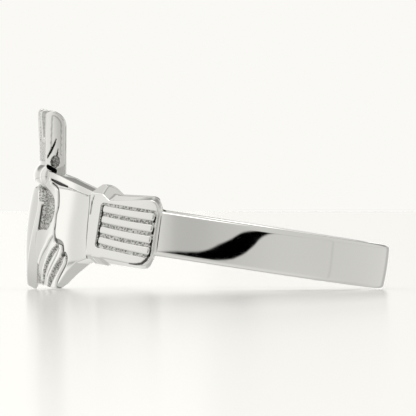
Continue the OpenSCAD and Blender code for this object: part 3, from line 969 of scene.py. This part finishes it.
def crown_slab(a, z, out):
    """The crown's wall without its ends and gaps, and its front face, below 0 inside."""
    r = np.hypot(a, out)
    front = r - CROWN_FRONT_R - (z - CROWN_FOOT_Z) * CROWN_LEAN
    back = CROWN_BACK_R + (z - CROWN_FOOT_Z) * CROWN_BACK_LEAN - r
    slab = both(crown_outline(a, z, out)[1], back, CROWN_BACK_EDGE_R)
    return both(slab, front, CROWN_FRONT_EDGE_R), front


def end_line(slab, z):
    """The fine line along the rim of each end wall, below 0 inside."""
    return np.maximum(np.abs(slab + END_LINE[0]) - END_LINE[1], PANEL_FOOT_Z + 0.5 - z)


def crown_panel(edge, top, z):
    """The sunk panels seen from the front, below 0 inside."""
    return np.maximum(np.maximum(edge, top) + CROWN_RIM, PANEL_FOOT_Z - z)


def crown_form(a, z, out):
    edge, top = crown_outline(a, z, out)
    slab, front = crown_slab(a, z, out)
    floor = -front - PANEL_DEPTH + GRIT_DEPTH * grains(a, z, GRIT)
    form = both(slab, edge, CROWN_END_EDGE_R)
    form = both(form, -np.maximum(crown_panel(edge, top, z), floor), CUT_EDGE_R)
    deep = np.abs(a) - CROWN_FOOT_HALF - (z - CROWN_LOW_Z) * CROWN_FLARE + end_bulge(z, out)
    pit = -deep - POCKET_DEPTH - GRIT_DEPTH * grains(out, z, GRIT)
    pocket = np.minimum(np.maximum(crown_pocket(z, out), pit), slot(a, z, out))
    stroke = np.maximum(crown_stroke(z, out), -deep - STROKE_DEPTH)
    line = np.maximum(end_line(slab, z), -deep - END_LINE[2])
    form = both(form, -np.minimum(pocket, np.minimum(stroke, line)), CUT_EDGE_R)
    inner = finger_side(np.minimum(z, HAND_TOP)) - np.hypot(a, out)
    return np.maximum(np.maximum(form, inner), CROWN_LOW_Z - z)


def crown_finish(a, z, out):
    """Dull in the pocket and a little in panels and gaps. Painted shade: black in the slot and the
    stroke, and less dark in the pocket and the line along the rim."""
    edge, top = crown_outline(a, z, out)
    slab, front = crown_slab(a, z, out)
    pocket = crown_pocket(z, out)
    end = (np.abs(a) > CROWN_FOOT_HALF - 0.3) * (edge > -0.4)
    gaps = (edge > -0.04) * (np.abs(a) < CROWN_FOOT_HALF - 0.35) * (top < -0.1)
    panels = (front < -0.02) * (front > -0.15) * (crown_panel(edge, top, z) < 0)
    frost = np.maximum(PANEL_FROST * np.maximum(panels, gaps), (pocket < 0.02) * end)
    # Painted shade in the slot, the stroke, the pocket and the rim line
    cuts = ((slot(a, z, out), 1.0), (crown_stroke(z, out), 1.0), (pocket, 0.45),
            (end_line(slab, z), 0.4))
    black = np.max([share * np.clip(1 - cut / CUT_FADE, 0, 1) for cut, share in cuts], axis=0)
    return frost, end * black


cast("crown", crown_form, crown_finish, (-3.75, 2.1, 8.5), (3.75, 5.97, 10.95), flat_face,
     flat_measure)

# Studio
# The ring lies on a pale satin board inside a white light tent, as small jewellery is photographed. The
# tent is warm white, brightest overhead and to the left, and dark high up behind. The dark gap in its
# front that the lens looks through is what the shank mirrors as a black stroke.
WHITE = "#FAF9F5"
BOARD = "#FCFBF8"
BOARD_SIZE = 1.6
BOARD_ROUGHNESS = 0.14
# Bearing in degrees from the lens towards the back of the shank, and the brightness of the tent there,
# level with the ring and steeply below it
WALL = [(-180, 1.2), (-168, 1.12), (-150, 0.86), (-125, 1.2), (-112, 1.28), (-98, 0.96), (-85, 1.04),
        (-60, 1.06), (-44, 1.02), (-36, 0.9), (-28, 0.73), (-18, 0.63), (4, 0.69), (30, 0.76),
        (46, 0.79), (80, 0.79), (98, 0.8), (136, 0.82), (155, 0.8), (164, 0.55), (171, 1.0),
        (175, 1.15), (180, 1.2)]
BELOW = [(-180, 0.68), (-120, 0.74), (-60, 0.9), (60, 0.9), (120, 0.74), (180, 0.68)]
# Bearing, height of the dark gap's middle and its thickness, all in degrees
GAP = [(-44, -3.6, 0.0), (-36, -4.0, 0.9), (-24, -4.85, 1.5), (-14, -5.4, 2.9), (-8, -5.8, 3.8),
       (-1.5, -5.75, 5.3), (5, -5.3, 7.4), (11.4, -4.3, 9.4), (17.7, -2.45, 10.6), (21, -1.6, 9.9),
       (24, -0.7, 8.3), (27.4, 0.25, 6.0), (30.6, 1.25, 3.6), (34, 1.6, 2.0), (37.3, 1.75, 1.1),
       (46, 2.0, 0.0)]
GAP_SOFT = 1.6
# A seam in the tent's cloth: bearing, half width and how much it dims
SEAM = (85.0, 1.6, 0.1)
# Heights between which wall turns into roof, and the roof's brightness, then the heights between which
# the part below turns into wall
ROOF = (66.0, 82.0, 2.2)
CELLAR = (-45.0, -8.0)
# The dark part high up behind: the bearings where it begins, the heights where it begins and pales, its
# share above that, and its brightness
DUSK = (150.0, 165.0, 6.0, 10.0, 20.0, 27.0, 0.3, 0.33)

world = bpy.data.worlds.new("light_tent")
bpy.context.scene.world = world
world.use_nodes = True
tree = world.node_tree
tree.nodes.clear()
view = add_node(tree, "ShaderNodeTexCoord").outputs["Generated"]
way = add_node(tree, "ShaderNodeSeparateXYZ", {}, {0: view})
ahead = add_node(tree, MATH, {"operation": "MULTIPLY", 1: -1.0}, {0: way.outputs["Y"]})
turned = add_node(tree, MATH, {"operation": "ARCTAN2"}, {0: way, 1: ahead})
bearing = add_node(tree, MATH, {"operation": "DEGREES"}, {0: turned})
raised = add_node(tree, MATH, {"operation": "ARCSINE"}, {0: way.outputs["Z"]})
height = add_node(tree, MATH, {"operation": "DEGREES"}, {0: raised})
# One smooth curve over the bearing for each table
curves = []
for rows in (WALL, BELOW, [(b, m) for b, m, _ in GAP], [(b, t / 2) for b, _, t in GAP]):
    first, last = rows[0][0], rows[-1][0]
    least, most = min(v for _, v in rows), max(v for _, v in rows)
    share = add_node(tree, MAP_RANGE, {"From Min": first, "From Max": last}, {0: bearing})
    curve = add_node(tree, "ShaderNodeFloatCurve", {}, {"Value": share})
    points = curve.mapping.curves[0].points
    while len(points) < len(rows):
        points.new(0.5, 0.5)
    for point, (at, value) in zip(points, rows):
        point.location = ((at - first) / (last - first), (value - least) / (most - least))
    curve.mapping.update()
    curves.append(add_node(tree, MAP_RANGE, {"To Min": least, "To Max": most}, {0: curve}))
wall, below, middle, half_gap = curves
soft = {"interpolation_type": "SMOOTHSTEP"}
aside = add_node(tree, MATH, {"operation": "ABSOLUTE"}, {0: bearing})
far_back = add_node(tree, MAP_RANGE, {**soft, "From Min": DUSK[0], "From Max": DUSK[1]}, {0: aside})
high_up = add_node(tree, MAP_RANGE, {**soft, "From Min": DUSK[2], "From Max": DUSK[3]}, {0: height})
too_high = add_node(tree, MAP_RANGE, {
    **soft, "From Min": DUSK[4], "From Max": DUSK[5], "To Max": DUSK[6]},
    {"Value": height, "To Min": high_up})
dusk = add_node(tree, MATH, TIMES, {0: far_back, 1: too_high})
walls = add_node(tree, "ShaderNodeMix", {3: DUSK[7]}, {0: dusk, 2: wall})
over = add_node(tree, MAP_RANGE, {
    **soft, "From Min": ROOF[0], "From Max": ROOF[1], "To Max": ROOF[2]},
    {"Value": height, "To Min": walls})
around = add_node(tree, MAP_RANGE, {**soft, "From Min": CELLAR[0], "From Max": CELLAR[1]},
                  {"Value": height, "To Min": below, "To Max": over})
seam_off = add_node(tree, MATH, {"operation": "SUBTRACT", 1: SEAM[0]}, {0: bearing})
seam_away = add_node(tree, MATH, {"operation": "ABSOLUTE"}, {0: seam_off})
seam = add_node(tree, MAP_RANGE, {
    **soft, "From Max": SEAM[1], "To Min": 1 - SEAM[2], "To Max": 1.0}, {"Value": seam_away})
gap_off = add_node(tree, MATH, {"operation": "SUBTRACT"}, {0: height, 1: middle})
gap_away = add_node(tree, MATH, {"operation": "ABSOLUTE"}, {0: gap_off})
outside = add_node(tree, MATH, {"operation": "SUBTRACT"}, {0: gap_away, 1: half_gap})
cloth = add_node(tree, MAP_RANGE, {
    **soft, "From Min": -GAP_SOFT / 2, "From Max": GAP_SOFT / 2}, {"Value": outside})
dimmed = add_node(tree, MATH, TIMES, {0: around, 1: seam})
light = add_node(tree, MATH, TIMES, {0: dimmed, 1: cloth})
tent = add_node(tree, "ShaderNodeBackground", {"Color": linear(WHITE)}, {"Strength": light})
# The lens itself sees the backdrop and not the tent
backdrop = add_node(tree, "ShaderNodeBackground", {"Color": linear(WHITE)})
seen = add_node(tree, "ShaderNodeLightPath").outputs["Is Camera Ray"]
mixed = add_node(tree, "ShaderNodeMixShader", {}, {0: seen, 1: tent, 2: backdrop})
add_node(tree, "ShaderNodeOutputWorld", {}, {0: mixed})

card = bpy.data.materials.new("satin_white_board")
card.use_nodes = True
face = card.node_tree.nodes["Principled BSDF"]
face.inputs["Base Color"].default_value = linear(BOARD)
face.inputs["Roughness"].default_value = BOARD_ROUGHNESS
mesh = bpy.data.meshes.new("board")
half = BOARD_SIZE / 2
mesh.from_pydata([(-half, -half, 0), (half, -half, 0), (half, half, 0), (-half, half, 0)], [],
                 [(0, 1, 2, 3)])
mesh.materials.append(card)
board = bpy.data.objects.new("board", mesh)
bpy.context.scene.collection.objects.link(board)
board.visible_glossy = False

# Camera
# A long lens that looks across the board at the ring, raised by only a third of a degree, because the
# photograph shows the shank edge on.
FRAME_W = 23.3
LENS_FAR = 900.0
AIM = (-0.054, 0.0, 4.54)
RAISED = 0.3
lens = bpy.data.cameras.new("camera")
lens.lens = lens.sensor_width * LENS_FAR / FRAME_W
lens.clip_start = 0.01
lens.clip_end = 10.0
camera = bpy.data.objects.new("camera", lens)
bpy.context.scene.collection.objects.link(camera)
camera.location = (AIM[0] * MM, -LENS_FAR * math.cos(math.radians(RAISED)) * MM,
                   (AIM[2] + LENS_FAR * math.sin(math.radians(RAISED))) * MM)
camera.rotation_euler = (math.radians(90 - RAISED), 0, 0)
bpy.context.scene.camera = camera
bpy.context.scene.view_settings.view_transform = "Standard"
